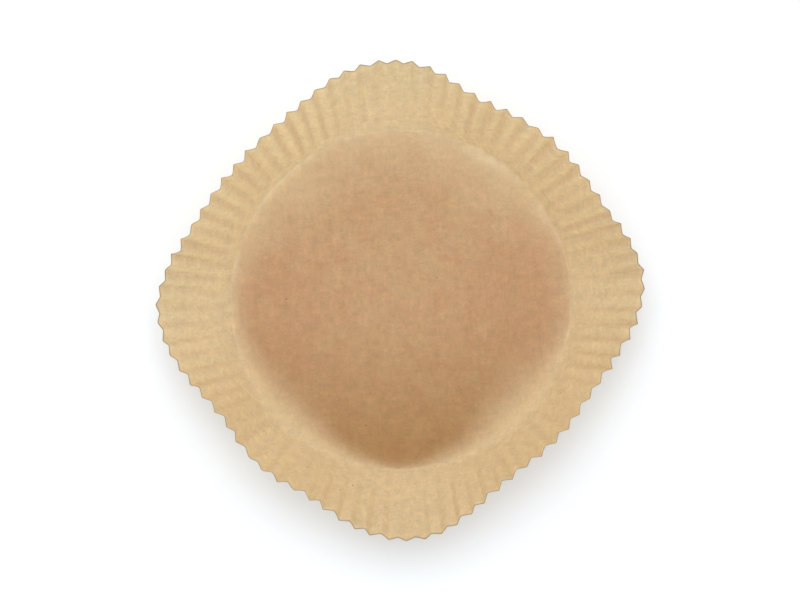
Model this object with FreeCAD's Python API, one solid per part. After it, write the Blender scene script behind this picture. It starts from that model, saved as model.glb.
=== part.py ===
import FreeCAD, Part
import math
import os

from FreeCAD import Vector

# Air fryer paper liner: one round sheet of greaseproof paper, pressed into a round floor and a
# fluted wall. Millimetres, +Z up. The origin is the middle of the floor's underside, and the
# corners of the rounded-square rim lie on the X and Y axes.

# Driving dimensions
FLOOR_RADIUS = 80.5  # crease between floor and wall
WALL_LENGTH = 44.5  # paper from the crease to the cut rim
PAPER = 0.3  # thickness of the solid, made heavier than the 0.06 mm sheet
FLUTES = 80
VALLEY_START = 0.36  # share of a flute's width taken by each of its two flanks
FLUTE_BOW = 0.65  # flutes deepen fast above the crease, then grow slowly
WALL_FLARE = 0.4  # the wall starts steep and leans out towards the rim
FLOOR_LIFT = 2.5  # how far the rim's flat sides pull the crease off the table
FLAT_CORNER_RADIUS = 78.0  # radius that the floor lies flat to, below a corner
FLAT_SIDE_RADIUS = 64.0  # radius that the floor lies flat to, below a flat side

# Rim seen from above: a circle drawn out into a rounded square, and a little out of true
RIM_RADIUS = 102.0
RIM_CENTRE = Vector(-0.4, 0.7, 0.0)
SQUARE = 6.7  # four corners
SQUARE_SHARPNESS = 2.1  # narrows the corners and flattens the sides
OVAL = 1.5
OVAL_TURN = math.radians(31)
THREE_SIDED = 0.9
THREE_SIDED_TURN = math.radians(16)
FIVE_SIDED = 0.6
FIVE_SIDED_TURN = math.radians(35)
FIRST_CREST = math.radians(-1.5)

# Each flute has three fold lines: a sharp outward crest and the two edges of its inner valley
FOLDS = (0.0, VALLEY_START, 1.0 - VALLEY_START)
LINES = FLUTES * len(FOLDS)
ARC_STEPS = 7200


def rim_radius(angle):
    """Mean radius of the rim, half way through the flutes."""
    square = SQUARE * math.cos(4 * angle) + SQUARE_SHARPNESS * math.cos(8 * angle)
    oval = OVAL * math.cos(2 * (angle - OVAL_TURN))
    three = THREE_SIDED * math.cos(3 * (angle - THREE_SIDED_TURN))
    five = FIVE_SIDED * math.cos(5 * (angle - FIVE_SIDED_TURN))
    return RIM_RADIUS + square + oval + three + five


def on_circle(radius, angle, height=0.0):
    return Vector(radius * math.cos(angle), radius * math.sin(angle), height)


def line_share(line):
    """Place of a fold line round the liner, from 0 to 1."""
    flute, fold = divmod(line, len(FOLDS))
    return (flute + FOLDS[fold]) / FLUTES


def rim_angles():
    """Angle of each fold line at the rim, where the flutes are spaced evenly along the edge."""
    step = 2 * math.pi / ARC_STEPS
    angles = [FIRST_CREST + i * step for i in range(ARC_STEPS + 1)]
    points = [on_circle(rim_radius(a), a) for a in angles]
    lengths = [0.0]
    for start, end in zip(points, points[1:]):
        lengths.append(lengths[-1] + (end - start).Length)
    found = []
    i = 0
    for line in range(LINES):
        wanted = lengths[-1] * line_share(line)
        while lengths[i + 1] < wanted:
            i += 1
        part_step = (wanted - lengths[i]) / (lengths[i + 1] - lengths[i])
        found.append(angles[i] + part_step * step)
    return found


def side_share(angle):
    """0 below a corner of the rim, 1 below the middle of a flat side."""
    return 0.5 - 0.5 * math.cos(4 * angle)


def mean_lines():
    """Floor edge, crease and rim point of each fold line, before the flutes are folded in."""
    lines = []
    for line, rim_angle in enumerate(rim_angles()):
        angle = FIRST_CREST + 2 * math.pi * line_share(line)
        side = side_share(angle)
        flat_radius = FLAT_CORNER_RADIUS + (FLAT_SIDE_RADIUS - FLAT_CORNER_RADIUS) * side
        floor_edge = on_circle(flat_radius, angle, PAPER / 2)
        crease = on_circle(FLOOR_RADIUS, angle, PAPER / 2 + FLOOR_LIFT * side)
        rim = on_circle(rim_radius(rim_angle), rim_angle, crease.z) + RIM_CENTRE
        reach = (rim - crease).Length
        rim.z += math.sqrt(WALL_LENGTH**2 - reach**2)
        lines.append((floor_edge, crease, rim))
    return lines


def flute_depth(lines):
    """Depth at the rim that takes up the sheet's whole edge, from its length per flute."""
    rim = [line[2] for line in lines]
    edge = sum((rim[i] - rim[i - 1]).Length for i in range(LINES))
    width = edge / FLUTES
    paper = 2 * math.pi * (FLOOR_RADIUS + WALL_LENGTH) / FLUTES
    flank = (paper - (1 - 2 * VALLEY_START) * width) / 2
    return math.sqrt(flank**2 - (VALLEY_START * width) ** 2)


def folded_lines():
    """Net of control points, one row per fold line: floor edge, crease, mid wall and rim.

    The last three are the poles of a parabola, so a fold line leaves the crease steeply."""
    lines = mean_lines()
    depth = flute_depth(lines)
    net = []
    for line, (floor_edge, crease, rim) in enumerate(lines):
        before = lines[line - 1][2]
        after = lines[(line + 1) % LINES][2]
        outward = (after - before).cross(rim - crease).normalize()
        crest = line % len(FOLDS) == 0
        offset = depth * ((1 - VALLEY_START) if crest else -VALLEY_START)
        middle = (crease + rim) / 2
        middle += outward * (offset * (1 + FLUTE_BOW) / 2 - 2 * WALL_FLARE)
        net.append((floor_edge, crease, middle, rim + outward * offset))
    return net


def vertex_normal(net, line, row):
    """Normal towards the inside of the bowl, lengthened so that folded sheets keep thickness."""
    if row == 0:
        return Vector(0, 0, 1)
    here = net[line][row]
    beside = (net[line - 1][row], net[(line + 1) % LINES][row])
    along = [net[line][row - 1] - here]
    if row + 1 < len(net[line]):
        along.append(net[line][row + 1] - here)
    normals = []
    for way, point in zip((-1, 1), beside):
        for edge in along:
            normal = edge.cross(point - here).normalize() * way
            if edge is along[0]:
                normal = -normal
            normals.append(normal)
    total = sum(normals, Vector())
    total.normalize()
    return total / min(total.dot(normal) for normal in normals)


def offset_net(net, distance):
    return [
        tuple(point + vertex_normal(net, line, row) * distance for row, point in enumerate(points))
        for line, points in enumerate(net)
    ]


def straight(start, end):
    return Part.LineSegment(start, end).toShape()


def parabola(poles):
    curve = Part.BezierCurve()
    curve.setPoles(list(poles))
    return curve.toShape()


def sheet_faces(net):
    """One side of the paper: the flat floor, the ring that lifts, and the flute panels."""
    floor_edge = [points[0] for points in net]
    faces = [Part.Face(Part.makePolygon(floor_edge + floor_edge[:1]))]
    for line in range(LINES):
        here = net[line - 1]
        beside = net[line]
        ring = Part.makeRuledSurface(straight(*here[:2]), straight(*beside[:2]))
        panel = Part.makeRuledSurface(parabola(here[1:]), parabola(beside[1:]))
        faces += [ring, panel]
    return faces


def rim_faces(outer, inner):
    """The cut edge that joins the two sides."""
    faces = []
    for line in range(LINES):
        under = straight(outer[line - 1][3], outer[line][3])
        over = straight(inner[line - 1][3], inner[line][3])
        faces.append(Part.makeRuledSurface(under, over))
    return faces


def make_liner():
    net = folded_lines()
    outer = offset_net(net, -PAPER / 2)
    inner = offset_net(net, PAPER / 2)
    faces = sheet_faces(outer) + sheet_faces(inner) + rim_faces(outer, inner)
    shell = Part.makeShell(faces)
    shell.sewShape()
    solid = Part.makeSolid(shell)
    if solid.Volume < 0:
        solid.reverse()
    return solid


def main():
    os.makedirs("parts", exist_ok=True)
    liner = make_liner()
    if not liner.isValid() or len(liner.Solids) != 1:
        raise RuntimeError("the liner isn't one valid solid")
    liner.exportStep("parts/liner.step")
    box = liner.BoundBox
    print("size %.1f x %.1f x %.1f mm" % (box.XLength, box.YLength, box.ZLength))
    print("centre %.2f %.2f, lowest %.3f mm" % (box.Center.x, box.Center.y, box.ZMin))
    print("volume %.0f mm3, flute depth %.2f mm" % (liner.Volume, flute_depth(mean_lines())))


main()
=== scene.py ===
import math

import bpy
import numpy as np
from mathutils import Matrix, Vector


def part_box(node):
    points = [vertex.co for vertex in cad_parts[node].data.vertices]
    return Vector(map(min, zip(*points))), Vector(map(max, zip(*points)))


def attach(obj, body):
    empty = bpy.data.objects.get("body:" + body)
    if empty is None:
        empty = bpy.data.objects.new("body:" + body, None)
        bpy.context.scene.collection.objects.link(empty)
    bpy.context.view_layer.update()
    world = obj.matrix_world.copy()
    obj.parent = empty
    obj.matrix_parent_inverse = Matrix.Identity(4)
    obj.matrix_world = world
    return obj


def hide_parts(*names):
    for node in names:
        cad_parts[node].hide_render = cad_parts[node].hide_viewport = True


# Air fryer paper liner: one round sheet of greaseproof kraft paper, pressed into a fluted bowl.
# The shape is worked out in millimetres and put into the mesh in metres.

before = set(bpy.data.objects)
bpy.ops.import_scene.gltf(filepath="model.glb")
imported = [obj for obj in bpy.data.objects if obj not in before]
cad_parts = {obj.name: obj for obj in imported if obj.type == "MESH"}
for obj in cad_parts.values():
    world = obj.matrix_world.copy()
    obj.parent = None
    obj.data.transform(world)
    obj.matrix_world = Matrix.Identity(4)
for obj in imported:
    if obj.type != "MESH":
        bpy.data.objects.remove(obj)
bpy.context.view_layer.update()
LINER_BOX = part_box("liner")

bl_info = {
    "name": "Paper liner",
    "version": (1, 0, 0),
    "blender": (4, 5, 0),
    "location": "3D View > Sidebar > Liner",
    "description": "A fluted greaseproof paper liner and its studio stage",
    "category": "Object",
}

MM = 0.001
TURN = 2 * math.pi
SENSOR_WIDTH = 36.0  # mm
TABLE_GAP = 0.1 * MM  # keeps the table clear of the floor's underside

# Painted highlights in lines along the crease: direction and half length in degrees, breadth and
# inset in mm, and strength
CREASE_HIGHLIGHTS = (
    (19.0, 4.0, 1.0, 0.6, 0.4),
    (27.5, 4.0, 1.3, 2.0, 0.7),
    (57.0, 9.0, 2.3, 2.3, 0.62),
    (78.0, 6.0, 1.0, -0.8, 0.35),
    (115.0, 36.0, 3.2, -3.2, 0.33),
    (134.0, 16.0, 1.0, 0.5, 0.42),
    (165.0, 5.0, 0.9, 0.4, 0.35),
)

# Small waves of this one liner's rim: waves in a turn, reach in mm, and direction in degrees
RIM_WAVES = (
    (6, 0.32, 45.7),
    (9, 0.27, 32.7),
    (10, 0.29, 6.7),
    (13, 0.18, 1.8),
    (14, 0.19, 24.6),
    (15, 0.16, 7.7),
)

# The sheet's grid: rings on the floor as shares of its radius, rings on the bend and on the wall,
# and columns as shares of a flute
FLOOR_RINGS = (0.08, 0.3, 0.5, 0.65, 0.75, 0.82, 0.87, 0.91, 0.945, 0.975)
BEND_RINGS = 9
WALL_RINGS = 32
FLUTE_COLUMNS = (0, 0.07, 0.15, 0.27, 0.39, 0.5, 0.61, 0.73, 0.85, 0.93)
EDGE_STEPS = 7200  # steps in which the rim's length is added up
SECTION_STEPS = 200  # steps over which a flute's mean height is taken
COLUMNS_ASIDE = 4  # columns to either side that give the wall's direction

# Directions of the crests' drift, once and four times a turn, degrees
DRIFT_TURN = -26
CORNER_DRIFT_TURN = -23

# How soft the crease is below the flat sides: its value half way between +Y and -Y, and how much
# it gains towards -Y and loses towards +Y
SOFT_MEAN = 0.3
SOFT_SPREAD = 1.5

# The area that rests on the table, where the floor is painted in shade. Its edge has waves: waves
# in a turn, reach in mm, and direction in degrees
REST_WAVES = (
    (3, 1.6, 12),
    (1, 1.4, -150),
)
REST_SOFTEST = 63  # direction in which its step is widest, degrees
REST_CRISP_CORNERS = 5.6  # how much narrower the step is below the corners, mm
REST_WIDTHS = (4, 44)  # least and greatest breadth of the step, mm
REST_FAR_FACING = (0.3, 0.65)  # sines of the directions where the far step sets in and is full
REST_FAR_WIDTH = 8  # breadth of the far step, mm
REST_END_WIDTH = 1.2  # breadth over which the resting tone ends at the crease, mm

# The ruddy patches of the floor
RUDDY_SIDE = 45  # how far towards X the patches grow, mm
RUDDY_SIDE_LEAN = 0.2  # how much stronger they are at +X, and fainter at -X
RUDDY_NEAR = 30  # how far towards -Y the near patch grows, mm
RUDDY_NEAR_SHARE = 0.35  # strength of the near patch
RUDDY_FLUSH = 0.55  # how much the patches add to the paper's own warm clouds

# Heights up the wall, as shares of it, where the painted shade at the corners sets in and is full
CORNER_SHADE_HEIGHTS = (0.15, 0.8)

# The flutes' painted shade: its strength beside each crest, and the height where it is full as a
# share of the wall, both from a least to a greatest value
FLUTE_SHADE_STRENGTHS = (0.5, 1.0)
FLUTE_SHADE_HEIGHTS = (0.2, 0.6)
FLUTE_SHADE_ASIDE = 0.19  # how far it lies to the side of the crest, in flutes
FLUTE_SHADE_TURNOVER = 2.5  # how fast it changes sides at +Y and -Y
# Sines of the directions between which it grows, and by how much, and between which it fades,
# and by what share
FLUTE_SHADE_RISES = (
    (-1, -0.85, 0.42),
    (-0.2, 0.2, 0.5),
)
FLUTE_SHADE_FADES = (
    (0.4, 0.6, 0.25),
    (0.88, 1.0, 0.9),
)

# Noises in the paper: width of the largest features in mm, octaves of detail, and roughness
CLOUDS = (12.0, 3.0, 0.6)
WARMTH = (12.0, 2.0, 0.7)
GRAIN = (7.0, 4.0, 1.0)
WANDER = (25.0, 1.0, 0.5)

GRAIN_STRETCH = 2.0  # length of the grain's features, in widths
GRAIN_DEPTH = 0.5  # how strongly the grain shades the paper
GRAIN_SPRUNG = 0.17  # how much weaker it is where the floor has sprung off the table
WARMTH_LIMITS = (0.2, 0.8)  # values of the warm clouds with no tone and with the full tone
WANDER_REACH = 0.3  # how far the edge of the resting tone wanders, as a share of the step
NEAR_SHADE = (5 * MM, -85 * MM)  # Y where the darker painted shade of the lying paper sets in and is full
NEAR_LIFTED_SHADE = (110 * MM, -30 * MM)  # the same for the painted shade of the lifted paper, on a skewed Y
NEAR_SKEW = -0.35  # share of X in the skewed Y
CREASE_MARGIN = 3.0  # breadth over which the floor's tones give way to the wall's, mm
CREASE_HIGHLIGHT_DEPTH = 0.5  # strength of the painted highlights along the crease
RIM_SHADE_REACH = (0.8, 0.2)  # distances from the cut rim where its painted shade sets in and is full, mm
RIM_SHADE_DEPTH = 0.8  # strength of the painted shade along the cut rim
SPECK_SPACING = 9.0  # breadth of the cells that may hold a speck, mm
SPECK_RADII = (0.045, 0.015)  # outer edge and solid middle of a speck, in cells
SPECK_CHOICE = (0.8, 0.85)  # values of a cell where its speck sets in and is full
RELIEF = 0.2  # height of the clouds' relief, mm

# Places of the Mix node's colour sockets
MIX_FIRST = 6
MIX_SECOND = 7
MIX_RESULT = 2


def linear(code):
    """sRGB hex code to the linear colour that Blender works in."""
    parts = [int(code[i : i + 2], 16) / 255 for i in (1, 3, 5)]
    return [c / 12.92 if c <= 0.04045 else ((c + 0.055) / 1.055) ** 2.4 for c in parts]


def size(name, description, default):
    return bpy.props.FloatProperty(name=name, description=description, default=default)


def share(name, description, default):
    return bpy.props.FloatProperty(
        name=name, description=description, default=default, subtype="FACTOR"
    )


def colour(name, description, code):
    return bpy.props.FloatVectorProperty(
        name=name,
        description=description,
        default=linear(code),
        size=3,
        min=0,
        max=1,
        subtype="COLOR",
    )


class LinerSizes(bpy.types.PropertyGroup):
    """Sizes of the pressed sheet, in millimetres."""

    floor_radius: size("Floor radius", "Crease between floor and wall, mm", 80.5)
    wall_length: size("Wall length", "Paper from the crease to the cut rim, mm", 44.5)
    paper: size("Paper", "Thickness of the sheet, mm", 0.1)
    flutes: bpy.props.IntProperty(name="Flutes", description="Flutes round the wall", default=80)
    crease_sharp: size("Sharp crease", "Half the width of a crisp bend, mm", 1.0)
    crease_soft: size("Soft crease", "Half the width of the softest bend, mm", 7.0)
    flute_depth: size("Flute depth", "Depth of a flute at the rim, mm", 2.5)
    valley_round: share("Valley round", "Roundness of a flute's valley, in half flutes", 0.6)
    crest_round: share("Crest round", "Roundness of a flute's crest, in half flutes", 0.12)
    flute_growth: share("Flute growth", "Power of the flute depth up the wall", 0.7)
    wall_flare: size("Wall flare", "How far the wall bows inwards half way up, mm", 0.3)
    soft_flare: size("Soft flare", "How far it bows outwards above a soft bend, mm", 1.0)
    floor_lift: size("Floor lift", "Height of the crease below a flat side of the rim, mm", 2.5)
    flat_corner: size("Flat corner", "Radius that lies flat below a rim corner, mm", 78.0)
    flat_side: size("Flat side", "Radius that lies flat below a flat side, mm", 64.0)
    uneven_crest: size("Uneven crests", "Spread of the crests in and out at the rim, mm", 0.35)
    uneven_valley: size("Uneven valleys", "Spread of the valleys in and out at the rim, mm", 0.2)
    uneven_pitch: share("Uneven pitch", "Spread of the crests round the rim, in flutes", 0.04)
    drift: share("Drift", "Slow sideways drift of the crests, in flutes", 0.13)
    corner_drift: share("Corner drift", "Drift of the crests four times a turn, in flutes", 0.09)
    seed: bpy.props.IntProperty(name="Seed", description="Seed of the unevenness", default=11)


class RimSizes(bpy.types.PropertyGroup):
    """The rim seen from above, in millimetres and degrees."""

    radius: size("Radius", "Mean radius of the rim, mm", 102.0)
    shift_x: size("Shift X", "Middle of the rim from the middle of the floor, mm", -0.4)
    shift_y: size("Shift Y", "Middle of the rim from the middle of the floor, mm", 0.7)
    square: size("Square", "Reach of the four corners, mm", 6.7)
    sharpness: size("Sharpness", "How much the corners narrow, mm", 2.1)
    oval: size("Oval", "Two-sided wave, mm", 1.5)
    oval_turn: size("Oval turn", "Direction of the oval, degrees", 31.0)
    three: size("Three-sided", "Three-sided wave, mm", 0.9)
    three_turn: size("Three-sided turn", "Direction of the three-sided wave, degrees", 16.0)
    five: size("Five-sided", "Five-sided wave, mm", 0.6)
    five_turn: size("Five-sided turn", "Direction of the five-sided wave, degrees", 35.0)
    first_crest: size("First crest", "Direction of the first crest, degrees", -1.5)


class PaperLook(bpy.types.PropertyGroup):
    """Colours of the unbleached paper, painted light and painted shade among them, and where it
    rests on the table.
    """

    # Painted light: paper lit through from behind, paler towards +Y and -X
    lifted: colour("Lifted", "Paper with light behind it, towards +Y and -X", "#F3E4C4")
    # Painted shade: the same lifted paper towards -Y and +X
    lifted_near_shade: colour("Lifted near", "Paper with light behind it, towards -Y and +X", "#EDDBB8")
    # Painted shade: paper that lies on the table, with no light behind it
    resting_shade: colour("Resting", "Paper that lies on a surface", "#E2C598")
    # Darker painted shade of that lying paper towards -Y, beside the crease
    pressed: colour("Pressed", "Paper pressed flat beside the crease at -Y", "#D0AB71")
    # Painted highlight along the crease
    opened: colour("Opened", "Fibre opened by folding, along the crease", "#FFF7E2")
    # Painted shade along the cut rim
    rim_shade: colour("Cut edge", "Bruised fibre along the cut rim", "#A88C62")
    speck: colour("Speck", "Bark specks", "#6F4A2C")
    ruddy: colour("Ruddy", "What ruddy patches multiply the paper's colour by", "#FBEFEC")
    # Tint of the painted light where the floor has sprung off the table
    sprung: colour("Sprung", "The same for floor that has sprung off the table", "#FFFEF9")
    # Painted shade on one flank of each flute, and as much painted light on the other
    shaded: colour("Pinched", "The same for the pinched side of a flute", "#F5F0EE")
    # Painted shade high on the wall at the rim's corners
    corner_shade: colour("Handled", "The same for the corners of the rim", "#F9F9F8")
    rest_edge: size("Rest edge", "Mean radius that rests on the table, mm", 73.0)
    rest_corners: size("Rest corners", "How much further it rests below the corners, mm", 4.1)
    rest_width: size("Rest width", "Mean breadth over which the floor leaves the table, mm", 30.6)
    rest_softer: size("Rest softer", "How much broader that is towards +Y and +X, mm", 18.8)
    rest_far: size("Rest far", "Radius of the faint step towards +Y, mm", 56.0)
    far_tone: share("Far tone", "How far the floor is lifted outside that step", 0.15)
    glow_share: share("Glow share", "Share of the light that comes through the paper", 0.5)
    roughness: share("Roughness", "Roughness of the calendered surface", 0.48)


class StageSizes(bpy.types.PropertyGroup):
    """Camera and light."""

    camera_height: bpy.props.FloatProperty(
        name="Camera height", description="Lens above the floor", default=1.0, unit="LENGTH"
    )
    camera_aside: size("Camera aside", "Lens from the middle of the floor along X, mm", -0.45)
    camera_roll: bpy.props.FloatProperty(
        name="Camera roll",
        description="Turn of the camera about its own axis",
        default=math.radians(-3.3),
        subtype="ANGLE",
    )
    floor_width: size("Floor width", "Breadth of floor that the picture spans, mm", 379.87)
    key_place: bpy.props.FloatVectorProperty(
        name="Key place",
        description="Middle of the large soft light, above and towards +Y",
        default=(-0.05, 0.58, 1.5),
        size=3,
        subtype="XYZ",
        unit="LENGTH",
    )
    key_width: bpy.props.FloatProperty(
        name="Key width", description="Side of the square soft light", default=1.0, unit="LENGTH"
    )
    key_power: size("Key power", "Power of the large soft light, W", 9.4)
    sky: size("Sky", "Strength of the white surroundings", 0.93)
    table_half: bpy.props.FloatProperty(
        name="Table", description="Half the side of the table", default=3.0, unit="LENGTH"
    )
    table: colour("Table colour", "Matt white laminate", "#EFF4F9")


# ---------------------------------------------------------------- shape of the sheet


def wave(angle, count, reach, turn_degrees):
    """So many waves in a turn, with a crest in the direction given in degrees."""
    return reach * np.cos(count * (angle - math.radians(turn_degrees)))


def rim_radius(angle, rim):
    """Mean radius of the rim: a circle drawn out into a rounded square, a little out of true."""
    square = wave(angle, 4, rim.square, 0) + wave(angle, 8, rim.sharpness, 0)
    uneven = wave(angle, 2, rim.oval, rim.oval_turn) + wave(angle, 3, rim.three, rim.three_turn)
    uneven = uneven + wave(angle, 5, rim.five, rim.five_turn)
    small = sum(wave(angle, *small_wave) for small_wave in RIM_WAVES)
    return rim.radius + square + uneven + small


def rim_angle(turn, rim):
    """Angle at the rim for each share of a turn, so that equal shares take equal lengths of edge.

    The edge's length is added up along fine steps, and the share of it is looked up."""
    start = math.radians(rim.first_crest)
    angle = np.linspace(start, start + TURN, EDGE_STEPS + 1)
    radius = rim_radius(angle, rim)
    steps = np.hypot(np.diff(radius * np.cos(angle)), np.diff(radius * np.sin(angle)))
    length = np.concatenate([[0], np.cumsum(steps)])
    whole, part = np.divmod(turn, 1)
    return np.interp(part * length[-1], length, angle) + TURN * whole


def foot_angle(turn, rim):
    """Angle on the floor for each share of a turn."""
    return math.radians(rim.first_crest) + TURN * turn


def ring(radius, angle, height):
    """Points on a circle: radius times cosine and sine of the angle, at a height."""
    radius, angle, height = np.broadcast_arrays(radius, angle, height)
    return np.stack([radius * np.cos(angle), radius * np.sin(angle), height], axis=-1)


def smooth(x):
    """0 below 0, 1 above 1, and three x squared less two x cubed between."""
    x = np.clip(x, 0, 1)
    return x * x * (3 - 2 * x)


def rise(x, low, high):
    """0 below low, 1 above high, smooth between."""
    return smooth((x - low) / (high - low))


def step(x, middle, width):
    """0 below a step of this width, 1 above it, smooth between."""
    return smooth((x - middle) / width + 0.5)


def unit(v):
    return v / np.linalg.norm(v, axis=-1, keepdims=True)


def side_share(angle):
    """0 below a corner of the rim, 1 below the middle of a flat side."""
    return 0.5 - 0.5 * np.cos(4 * angle)


def soft_share(angle):
    """1 below the flat sides towards -Y, where the wall rises in a curve, and 0 towards +Y and at
    the rim's corners, where it rises from a crisp crease."""
    return smooth(SOFT_MEAN - SOFT_SPREAD * np.sin(angle)) * side_share(angle)


def uneven_flutes(turn, sizes, rim):
    """Sideways shift of each point in flutes, and its extra reach outwards in mm at the rim.

    Each crest and each valley has a random value, and the points between take a smooth mean.
    The sideways shift also drifts slowly round the rim, in two waves."""
    rng = np.random.default_rng(sizes.seed)
    shift = rng.normal(0, sizes.uneven_pitch, sizes.flutes)
    crest = rng.normal(0, sizes.uneven_crest, sizes.flutes)
    valley = rng.normal(0, sizes.uneven_valley, sizes.flutes)
    place = turn * sizes.flutes
    here = np.floor(place).astype(int) % sizes.flutes
    after = (here + 1) % sizes.flutes
    blend = smooth(place % 1)
    near_crest = (2 * (place % 1) - 1) ** 2
    angle = foot_angle(turn, rim)
    drift = wave(angle, 1, sizes.drift, DRIFT_TURN)
    drift = drift + wave(angle, 4, sizes.corner_drift, CORNER_DRIFT_TURN)
    sideways = shift[here] * (1 - blend) + shift[after] * blend + drift
    reach = (crest[here] * (1 - blend) + crest[after] * blend) * near_crest
    return sideways, reach + valley[here] * (1 - near_crest)


def flute_section(place, sizes):
    """Height of a flute's section from its mean, for places from one crest (0) to the next (1).

    Straight flanks meet at a crest and at a valley, each rounded as a hyperbola is."""

    def section(p):
        from_valley = np.abs(2 * p - 1)
        valley = np.hypot(from_valley, sizes.valley_round)
        crest = np.hypot(1 - from_valley, sizes.crest_round)
        return (valley - crest) / 2

    around = section(np.linspace(0, 1, SECTION_STEPS + 1))
    return (section(place) - around.mean()) / np.ptp(around)


def middle_sheet(turn, reach, sizes, rim):
    """The middle of the paper's thickness, for each share of a turn (columns) and each blank
    radius (rows, the same or different in each column).

    Inside the crease the sheet is a flat disc that curls up a little below the rim's flat sides.
    Outside it, every line of the blank is a parabola from the crease to the rim, as long as the
    wall, and the flutes push it out or in along the wall's normal, by the flute's section times
    its depth, which is a power of the way up the wall."""
    angle = foot_angle(turn, rim)
    side = side_share(angle)
    half = sizes.paper / 2
    lift = half + sizes.floor_lift * side
    sideways, extra = uneven_flutes(turn, sizes, rim)
    top_angle = rim_angle(turn + sideways / sizes.flutes, rim)
    crease = ring(sizes.floor_radius, angle, lift)
    top = ring(rim_radius(top_angle, rim), top_angle, lift)
    top += np.array([rim.shift_x, rim.shift_y, 0])
    plan = np.linalg.norm(top - crease, axis=-1)
    top[:, 2] += np.sqrt(sizes.wall_length**2 - plan**2)
    along = np.roll(top, -COLUMNS_ASIDE, axis=0) - np.roll(top, COLUMNS_ASIDE, axis=0)
    outward = unit(np.cross(along, top - crease))
    soft = soft_share(angle)[:, None]
    bow = sizes.wall_flare * (1 - soft) - sizes.soft_flare * soft
    middle = (crease + top) / 2 - outward * 2 * bow

    flat = sizes.flat_corner + (sizes.flat_side - sizes.flat_corner) * side
    r = np.minimum(reach, sizes.floor_radius)
    curl = np.clip((r - flat) / (sizes.floor_radius - flat), 0, 1) ** 2
    floor = ring(r, angle, half + (lift - half) * curl)

    t = np.clip((reach - sizes.floor_radius) / sizes.wall_length, 0, 1)[..., None]
    wall = crease * (1 - t) ** 2 + middle * 2 * t * (1 - t) + top * t**2
    section = flute_section(turn * sizes.flutes % 1, sizes)
    push = (sizes.flute_depth * section + extra)[:, None] * t**sizes.flute_growth
    wall = wall + outward * push
    return np.where((reach > sizes.floor_radius)[..., None], wall, floor)


def bend_width(angle, sizes):
    """Half the width of the bend at the crease, mm."""
    return sizes.crease_sharp + (sizes.crease_soft - sizes.crease_sharp) * soft_share(angle)


def blank_grid(turn, sizes, rim):
    """Blank radius of each grid point: rings over the floor, across the bend and up the wall."""
    half = bend_width(foot_angle(turn, rim), sizes)
    inner = np.array(FLOOR_RINGS)[:, None] * (sizes.floor_radius - half)
    bend = sizes.floor_radius + np.linspace(-1, 1, BEND_RINGS)[:, None] * half
    up = np.linspace(0, 1, WALL_RINGS + 1)[1:, None]
    wall = sizes.floor_radius + half + up * (sizes.wall_length - half)
    return np.concatenate([inner, bend, wall])


def bent_sheet(turn, reach, sizes, rim):
    """The middle sheet with its crease bent to a round.

    Within the bend, a point is on the parabola between the sheet at the bend's two edges that has
    the sharp crease as its pole."""
    sheet = middle_sheet(turn, reach, sizes, rim)
    half = bend_width(foot_angle(turn, rim), sizes)
    edges = sizes.floor_radius + np.array([[-1.0], [0.0], [1.0]]) * half
    inner, pole, outer = middle_sheet(turn, edges, sizes, rim)
    s = np.clip((reach - edges[0]) / (2 * half), 0, 1)[..., None]
    bend = inner * (1 - s) ** 2 + pole * 2 * s * (1 - s) + outer * s**2
    inside = (np.abs(reach - sizes.floor_radius) < half)[..., None]
    return np.where(inside, bend, sheet)


def sheet_normals(points):
    """Normals on a grid of rings: across times along, by differences, the last column next to
    the first."""
    across = np.gradient(points, axis=0)
    along = np.roll(points, -1, axis=1) - np.roll(points, 1, axis=1)
    return unit(np.cross(across, along))


def flute_columns(flutes):
    """Shares of a turn for the grid's columns, closer together at each crest."""
    return ((np.arange(flutes)[:, None] + np.array(FLUTE_COLUMNS)) / flutes).ravel()


def grid_faces(rows, columns, first):
    """Quads of a closed ring grid, wound so that they face along the sheet's normal."""
    index = first + np.arange(rows * columns).reshape(rows, columns)
    beside = np.roll(index, -1, axis=1)
    quads = np.stack([index[:-1], index[1:], beside[1:], beside[:-1]], axis=-1)
    return quads.reshape(-1, 4)


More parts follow.
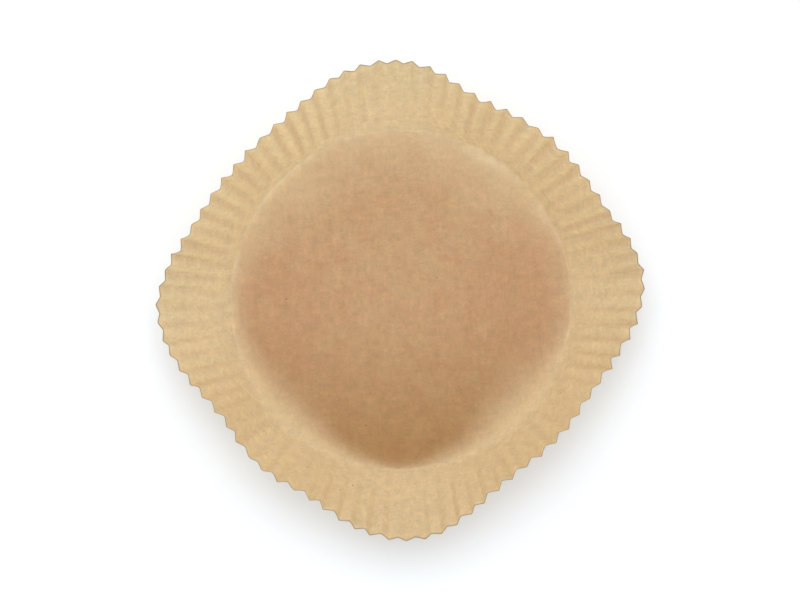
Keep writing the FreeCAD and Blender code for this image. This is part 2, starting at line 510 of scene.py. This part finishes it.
def liner_mesh(name, sizes, rim, look):
    """Closed mesh of the paper: both sides of the sheet, the cut rim and a fan at each pole."""
    turn = flute_columns(sizes.flutes)
    reach = blank_grid(turn, sizes, rim)
    rows, columns = reach.shape
    centre = bent_sheet(turn, reach, sizes, rim)
    normal = sheet_normals(centre)
    half = sizes.paper / 2
    over = centre + normal * half
    under = centre - normal * half
    poles = np.array([[0, 0, sizes.paper], [0, 0, 0]])
    points = np.concatenate([over.reshape(-1, 3), under.reshape(-1, 3), poles])

    side = rows * columns
    upper = grid_faces(rows, columns, 0)
    lower = grid_faces(rows, columns, side)[:, ::-1]
    first = np.arange(columns)
    after = np.roll(first, -1)
    last = first + side - columns
    last_after = after + side - columns
    edge = np.stack([last, last + side, last_after + side, last_after], axis=-1)
    quads = np.concatenate([upper, lower, edge])
    top_pole = np.full(columns, 2 * side)
    fan_over = np.stack([top_pole, first, after], axis=-1)
    fan_under = np.stack([top_pole + 1, after + side, first + side], axis=-1)
    fans = np.concatenate([fan_over, fan_under])

    mesh = bpy.data.meshes.new(name)
    faces = quads.tolist() + fans.tolist()
    mesh.from_pydata((points * MM).tolist(), [], faces)
    mesh.polygons.foreach_set("use_smooth", np.ones(len(mesh.polygons), bool))

    blank = ring(reach, TURN * turn, 0.0)[..., :2].reshape(-1, 2)
    blank = np.concatenate([blank, blank, np.zeros((2, 2))])
    widest = 2 * (sizes.floor_radius + sizes.wall_length)
    corner = np.zeros(len(mesh.loops), np.int32)
    mesh.loops.foreach_get("vertex_index", corner)
    layer = mesh.uv_layers.new(name="blank")
    layer.uv.foreach_set("vector", (blank[corner] / widest + 0.5).ravel())

    angle = foot_angle(turn, rim)
    add_attribute(mesh, "resting_shade", resting_share(reach, angle, sizes, look))
    add_attribute(mesh, "crease_highlight", crease_highlight(reach, angle, sizes))
    add_attribute(mesh, "crest", flute_shade_share(turn, reach, angle, sizes))
    add_attribute(mesh, "ruddy", ruddy_share(reach, angle))
    add_attribute(mesh, "corner", corner_shade_share(reach, angle, sizes))
    mesh.update()
    return mesh


def add_attribute(mesh, name, values):
    """Writes one number a point, the same on both sides of the sheet, with the poles last."""
    full = np.concatenate([values.ravel(), values.ravel(), [values[0, 0]] * 2])
    mesh.attributes.new(name, "FLOAT", "POINT").data.foreach_set("value", full)


def resting_share(reach, angle, sizes, look):
    """1 where the paper lies on the table and takes the painted shade, 0 where it is lifted and
    takes the painted light, with a soft step between.

    The resting area is a circle with one, three and four waves round it. It reaches furthest
    below the rim's corners. The step is widest below the flat sides, and towards +Y and +X.
    Towards +Y, the outer part of the area has a faint step of its own."""
    edge = look.rest_edge + wave(angle, 4, look.rest_corners, 0)
    edge = edge + sum(wave(angle, *edge_wave) for edge_wave in REST_WAVES)
    width = look.rest_width + wave(angle, 1, look.rest_softer, REST_SOFTEST)
    width = np.clip(width - wave(angle, 4, REST_CRISP_CORNERS, 0), *REST_WIDTHS)
    lifted = step(reach, edge, width)
    far = rise(np.sin(angle), *REST_FAR_FACING) * step(reach, look.rest_far, REST_FAR_WIDTH)
    lifted = 1 - (1 - lifted) * (1 - look.far_tone * far)
    outside = step(reach, sizes.floor_radius, REST_END_WIDTH)
    return (1 - lifted) * (1 - outside)


def ruddy_share(reach, angle):
    """0 in the middle of the floor, rising to 1 half way to the crease at +X and at -X, a little
    more at +X, and to a third on the way to -Y."""
    sideways = reach * (np.abs(np.cos(angle)) - np.abs(np.sin(angle)))
    side = smooth(sideways / RUDDY_SIDE) * (1 + RUDDY_SIDE_LEAN * np.cos(angle))
    near = smooth(-reach * np.sin(angle) / RUDDY_NEAR)
    return side + RUDDY_NEAR_SHARE * near


def corner_shade_share(reach, angle, sizes):
    """Share of the painted shade at the rim's corners: 1 high on the wall there, 0 half way to the
    next one and below the wall.
    """
    up = rise((reach - sizes.floor_radius) / sizes.wall_length, *CORNER_SHADE_HEIGHTS)
    return (1 - side_share(angle)) ** 2 * up


def flute_shade_share(turn, reach, angle, sizes):
    """1 where painted shade darkens the paper on one side of a flute's crest, 0 where painted
    light makes it as much paler beside the valley, and a half elsewhere.

    A cosine round the rim, shifted to one side of each crest, times a rise above the crease.
    Each crest has its own strength and length. All are fainter at +Y and towards -Y."""
    rng = np.random.default_rng(sizes.seed)
    strength = rng.uniform(*FLUTE_SHADE_STRENGTHS, sizes.flutes)
    foot = rng.uniform(*FLUTE_SHADE_HEIGHTS, sizes.flutes) * sizes.wall_length
    aside = -FLUTE_SHADE_ASIDE * np.clip(FLUTE_SHADE_TURNOVER * np.cos(angle), -1, 1)
    place = turn * sizes.flutes - aside
    nearest = np.round(place).astype(int) % sizes.flutes
    up = smooth((reach - sizes.floor_radius) / foot[nearest])
    facing = np.sin(angle)
    depth = sum(gain * rise(facing, low, high) for low, high, gain in FLUTE_SHADE_RISES)
    for low, high, loss in FLUTE_SHADE_FADES:
        depth = depth * (1 - loss * rise(facing, low, high))
    return 0.5 + 0.5 * strength[nearest] * depth * up * np.cos(TURN * place)


def crease_highlight(reach, angle, sizes):
    """Brightness of the painted highlights in lines along the crease.

    Each stretch of line keeps its strength along the crease and fades at its ends. Across the
    crease it is a Gaussian."""
    total = np.zeros_like(reach)
    for middle, length, breadth, inset, strength in CREASE_HIGHLIGHTS:
        along = (np.degrees(angle) - middle) / length
        across = (reach - sizes.floor_radius + inset) / breadth
        total += strength * np.exp(-(along**4) - across**2)
    return total


# ---------------------------------------------------------------- materials


def node(tree, kind, inputs=None, **settings):
    """Adds a node, sets its properties, and sets or links its inputs."""
    made = tree.nodes.new(kind)
    for name, value in settings.items():
        setattr(made, name, value)
    for name, value in (inputs or {}).items():
        if isinstance(value, bpy.types.NodeSocket):
            tree.links.new(value, made.inputs[name])
        else:
            made.inputs[name].default_value = value
    return made


def mix_colour(tree, factor, first, second, blend_type="MIX"):
    """Mixes two colours, each a socket or three numbers."""
    sockets = [c if isinstance(c, bpy.types.NodeSocket) else (*c, 1) for c in (first, second)]
    inputs = {"Factor": factor, MIX_FIRST: sockets[0], MIX_SECOND: sockets[1]}
    mixed = node(tree, "ShaderNodeMix", inputs, data_type="RGBA", blend_type=blend_type)
    return mixed.outputs[MIX_RESULT]


def arithmetic(tree, operation, *values, clamp=False):
    inputs = dict(enumerate(values))
    made = node(tree, "ShaderNodeMath", inputs, operation=operation, use_clamp=clamp)
    return made.outputs["Value"]


def remap(tree, value, low, high):
    """0 below low, 1 above high, smooth between."""
    inputs = {"Value": value, "From Min": low, "From Max": high}
    made = node(tree, "ShaderNodeMapRange", inputs, interpolation_type="SMOOTHSTEP")
    return made.outputs["Result"]


def noise(tree, place, width, detail, roughness):
    """Noise from 0 to 1 with its largest features about as wide as given, mm."""
    inputs = {"Vector": place, "Scale": 1 / width, "Detail": detail, "Roughness": roughness}
    return node(tree, "ShaderNodeTexNoise", inputs).outputs["Fac"]


def attribute(tree, name):
    """A number that the mesh holds for each of its points."""
    return node(tree, "ShaderNodeAttribute", attribute_name=name).outputs["Fac"]


def complement(tree, value):
    return arithmetic(tree, "SUBTRACT", 1.0, value)


def grey(tree, value):
    return node(tree, "ShaderNodeCombineColor", {0: value, 1: value, 2: value}).outputs[0]


def stretched(tree, place, x, y):
    """The same place with X and Y multiplied, which makes a noise as much finer along them."""
    return node(tree, "ShaderNodeMapping", {"Vector": place, "Scale": (x, y, 1)}).outputs["Vector"]


def new_material(name):
    material = bpy.data.materials.new(name)
    material.use_nodes = True
    material.node_tree.nodes.clear()
    return material, material.node_tree


def greaseproof_kraft(sizes, look):
    """Greaseproof kraft paper: unbleached, beaten very fine and calendered, so it is smooth, a
    little glossy and lets light through. Its fibres show as faint clouds and a few specks. Its
    colour also holds painted light and painted shade: on the floor and wall, beside the flutes'
    crests, at the rim's corners and cut edge, and painted highlights along the crease."""
    material, tree = new_material("greaseproof_kraft_paper")
    across = 2 * (sizes.floor_radius + sizes.wall_length)
    uv = node(tree, "ShaderNodeUVMap", uv_map="blank").outputs["UV"]
    centred = node(tree, "ShaderNodeVectorMath", {0: uv, 1: (0.5, 0.5, 0)}, operation="SUBTRACT")
    inputs = {0: centred.outputs[0], "Scale": across}
    blank = node(tree, "ShaderNodeVectorMath", inputs, operation="SCALE").outputs[0]
    radius = node(tree, "ShaderNodeVectorMath", {0: blank}, operation="LENGTH").outputs["Value"]
    place = node(tree, "ShaderNodeTexCoord").outputs["Object"]
    apart = node(tree, "ShaderNodeSeparateXYZ", {0: place})
    far = apart.outputs["Y"]
    far_left = arithmetic(tree, "MULTIPLY_ADD", apart.outputs["X"], NEAR_SKEW, far)
    resting_shade = attribute(tree, "resting_shade")

    # Formation: the fibres' clouds, warmer and cooler patches, and a grain along X and along Y
    clouds = noise(tree, blank, *CLOUDS)
    warmth = noise(tree, blank, *WARMTH)
    along_y = noise(tree, stretched(tree, blank, GRAIN_STRETCH, 1.0), *GRAIN)
    along_x = noise(tree, stretched(tree, blank, 1.0, GRAIN_STRETCH), *GRAIN)
    grain = arithmetic(tree, "ADD", along_y, along_x)

    # The edge of the resting area is cloudy, because the paper clings unevenly. The wandering is
    # full half way through the step, where rest times lifted is a quarter
    wander = noise(tree, blank, *WANDER)
    wander = arithmetic(tree, "MULTIPLY_ADD", wander, WANDER_REACH, -WANDER_REACH / 2)
    part = arithmetic(tree, "MULTIPLY", complement(tree, resting_shade), resting_shade)
    wander = arithmetic(tree, "MULTIPLY", wander, arithmetic(tree, "MULTIPLY", part, 4.0))
    rest = arithmetic(tree, "ADD", resting_shade, wander, clamp=True)
    # Painted shade where the paper lies on the table, darker towards -Y, and painted light where
    # it is lifted, paler towards +Y and -X
    lying_shade = mix_colour(tree, remap(tree, far, *NEAR_SHADE), look.resting_shade, look.pressed)
    nearer = remap(tree, far_left, *NEAR_LIFTED_SHADE)
    lifted = mix_colour(tree, nearer, look.lifted, look.lifted_near_shade)
    on_floor = remap(tree, radius, sizes.floor_radius, sizes.floor_radius - CREASE_MARGIN)
    lifted = mix_colour(tree, on_floor, lifted, look.sprung, "MULTIPLY")
    paper = mix_colour(tree, rest, lifted, lying_shade)

    # Ruddy patches where the paper rests, and the grain all over, both faint
    ruddy = remap(tree, warmth, *WARMTH_LIMITS)
    ruddy = arithmetic(tree, "MULTIPLY_ADD", attribute(tree, "ruddy"), RUDDY_FLUSH, ruddy)
    ruddy = arithmetic(tree, "MULTIPLY", ruddy, rest)
    paper = mix_colour(tree, ruddy, paper, look.ruddy, "MULTIPLY")
    sprung = arithmetic(tree, "MULTIPLY", complement(tree, rest), on_floor)
    depth = arithmetic(tree, "MULTIPLY_ADD", sprung, -GRAIN_SPRUNG, GRAIN_DEPTH)
    shade = arithmetic(tree, "SUBTRACT", grain, 1.0)
    shade = arithmetic(tree, "MULTIPLY_ADD", shade, depth, 1.0)
    paper = mix_colour(tree, 1.0, paper, grey(tree, shade), "MULTIPLY")

    # Painted shade, dark and warm, on one side of each crest, and as much painted light on the
    # other
    lit_flank = [2 - channel for channel in look.shaded]
    shaded = mix_colour(tree, attribute(tree, "crest"), lit_flank, look.shaded)
    paper = mix_colour(tree, 1.0, paper, shaded, "MULTIPLY")

    # Painted shade high on the wall at the rim's corners, which dulls the paper a little
    paper = mix_colour(tree, attribute(tree, "corner"), paper, look.corner_shade, "MULTIPLY")

    # Painted highlights in lines along the crease
    highlight = arithmetic(tree, "MULTIPLY", attribute(tree, "crease_highlight"), CREASE_HIGHLIGHT_DEPTH)
    paper = mix_colour(tree, highlight, paper, look.opened)

    # Painted shade along the cut rim
    cut = sizes.floor_radius + sizes.wall_length
    rim_shading = remap(tree, radius, cut - RIM_SHADE_REACH[0], cut - RIM_SHADE_REACH[1])
    rim_shading = arithmetic(tree, "MULTIPLY", rim_shading, RIM_SHADE_DEPTH)
    paper = mix_colour(tree, rim_shading, paper, look.rim_shade)

    # A few bark specks
    inputs = {"Vector": blank, "Scale": 1 / SPECK_SPACING}
    cells = node(tree, "ShaderNodeTexVoronoi", inputs)
    chosen = node(tree, "ShaderNodeSeparateColor", {0: cells.outputs["Color"]}).outputs[0]
    dot = remap(tree, cells.outputs["Distance"], *SPECK_RADII)
    dot = arithmetic(tree, "MULTIPLY", dot, remap(tree, chosen, *SPECK_CHOICE))
    paper = mix_colour(tree, dot, paper, look.speck)

    relief = arithmetic(tree, "MULTIPLY", clouds, RELIEF)
    bump = node(tree, "ShaderNodeBump", {"Strength": 1.0, "Distance": MM, "Height": relief})
    surface = {
        "Base Color": paper,
        "Roughness": look.roughness,
        "Specular IOR Level": 0.4,
        "Normal": bump.outputs["Normal"],
    }
    front = node(tree, "ShaderNodeBsdfPrincipled", surface)
    through = node(tree, "ShaderNodeBsdfTranslucent", {"Color": paper})
    shares = {0: look.glow_share, 1: front.outputs[0], 2: through.outputs[0]}
    both = node(tree, "ShaderNodeMixShader", shares)
    node(tree, "ShaderNodeOutputMaterial", {"Surface": both.outputs[0]})
    return material


def white_table(tone):
    """Matt white laminate under the liner."""
    material, tree = new_material("white_table_laminate")
    surface = {"Base Color": (*tone, 1), "Roughness": 0.8, "Specular IOR Level": 0.2}
    bsdf = node(tree, "ShaderNodeBsdfPrincipled", surface)
    node(tree, "ShaderNodeOutputMaterial", {"Surface": bsdf.outputs[0]})
    return material


# ---------------------------------------------------------------- pieces


class LINER_OT_paper(bpy.types.Operator):
    """Makes the pressed sheet of paper, which stands for the CAD liner"""

    bl_idname = "liner.paper"
    bl_label = "Paper liner"

    def execute(self, context):
        scene = context.scene
        mesh = liner_mesh("liner_paper", scene.liner_sizes, scene.liner_rim, scene.liner_look)
        piece = bpy.data.objects.new("liner_paper", mesh)
        scene.collection.objects.link(piece)
        mesh.materials.append(greaseproof_kraft(scene.liner_sizes, scene.liner_look))
        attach(piece, "root")
        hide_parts("liner")
        return {"FINISHED"}


def add_key_light(scene, stage):
    """A square soft light that faces the middle of the floor."""
    data = bpy.data.lights.new("key_light", "AREA")
    data.shape = "SQUARE"
    data.size = stage.key_width
    data.energy = stage.key_power
    light = bpy.data.objects.new("key_light", data)
    place = Vector(stage.key_place)
    facing = (-place).to_track_quat("-Z", "Y").to_matrix().to_4x4()
    light.matrix_world = Matrix.Translation(place) @ facing
    scene.collection.objects.link(light)


class LINER_OT_stage(bpy.types.Operator):
    """Makes the white table, the soft light and the camera above the liner"""

    bl_idname = "liner.stage"
    bl_label = "Stage"

    def execute(self, context):
        scene = context.scene
        stage = scene.liner_stage
        table = bpy.data.meshes.new("table")
        half = stage.table_half
        corners = [(-half, -half, 0), (half, -half, 0), (half, half, 0), (-half, half, 0)]
        table.from_pydata(corners, [], [(0, 1, 2, 3)])
        table.materials.append(white_table(stage.table))
        table_object = bpy.data.objects.new("table", table)
        table_object.location.z = LINER_BOX[0].z - TABLE_GAP
        scene.collection.objects.link(table_object)

        world = bpy.data.worlds.new("studio")
        world.use_nodes = True
        background = world.node_tree.nodes["Background"]
        background.inputs["Color"].default_value = (1, 1, 1, 1)
        background.inputs["Strength"].default_value = stage.sky
        scene.world = world
        add_key_light(scene, stage)

        camera_data = bpy.data.cameras.new("camera")
        camera_data.sensor_width = SENSOR_WIDTH
        camera_data.lens = SENSOR_WIDTH * stage.camera_height / (stage.floor_width * MM)
        camera = bpy.data.objects.new("camera", camera_data)
        camera.location = (stage.camera_aside * MM, 0, stage.camera_height)
        camera.rotation_euler = (0, 0, stage.camera_roll)
        scene.collection.objects.link(camera)
        scene.camera = camera
        scene.view_settings.view_transform = "Standard"
        return {"FINISHED"}


class LINER_PT_panel(bpy.types.Panel):
    """Lists the pieces and their sizes"""

    bl_idname = "LINER_PT_panel"
    bl_label = "Paper liner"
    bl_space_type = "VIEW_3D"
    bl_region_type = "UI"
    bl_category = "Liner"

    def draw(self, context):
        scene = context.scene
        for group in (scene.liner_sizes, scene.liner_rim, scene.liner_look, scene.liner_stage):
            box = self.layout.box()
            for name in group.__annotations__:
                box.prop(group, name)
        self.layout.operator(LINER_OT_paper.bl_idname)
        self.layout.operator(LINER_OT_stage.bl_idname)


CLASSES = (
    LinerSizes,
    RimSizes,
    PaperLook,
    StageSizes,
    LINER_OT_paper,
    LINER_OT_stage,
    LINER_PT_panel,
)
GROUPS = {
    "liner_sizes": LinerSizes,
    "liner_rim": RimSizes,
    "liner_look": PaperLook,
    "liner_stage": StageSizes,
}


def register():
    for cls in CLASSES:
        bpy.utils.register_class(cls)
    for name, group in GROUPS.items():
        setattr(bpy.types.Scene, name, bpy.props.PointerProperty(type=group))


def unregister():
    for name in GROUPS:
        delattr(bpy.types.Scene, name)
    for cls in reversed(CLASSES):
        bpy.utils.unregister_class(cls)


def main():
    """Makes the liner and its stage."""
    register()
    bpy.ops.liner.paper()
    bpy.ops.liner.stage()


if __name__ == "__main__":
    main()
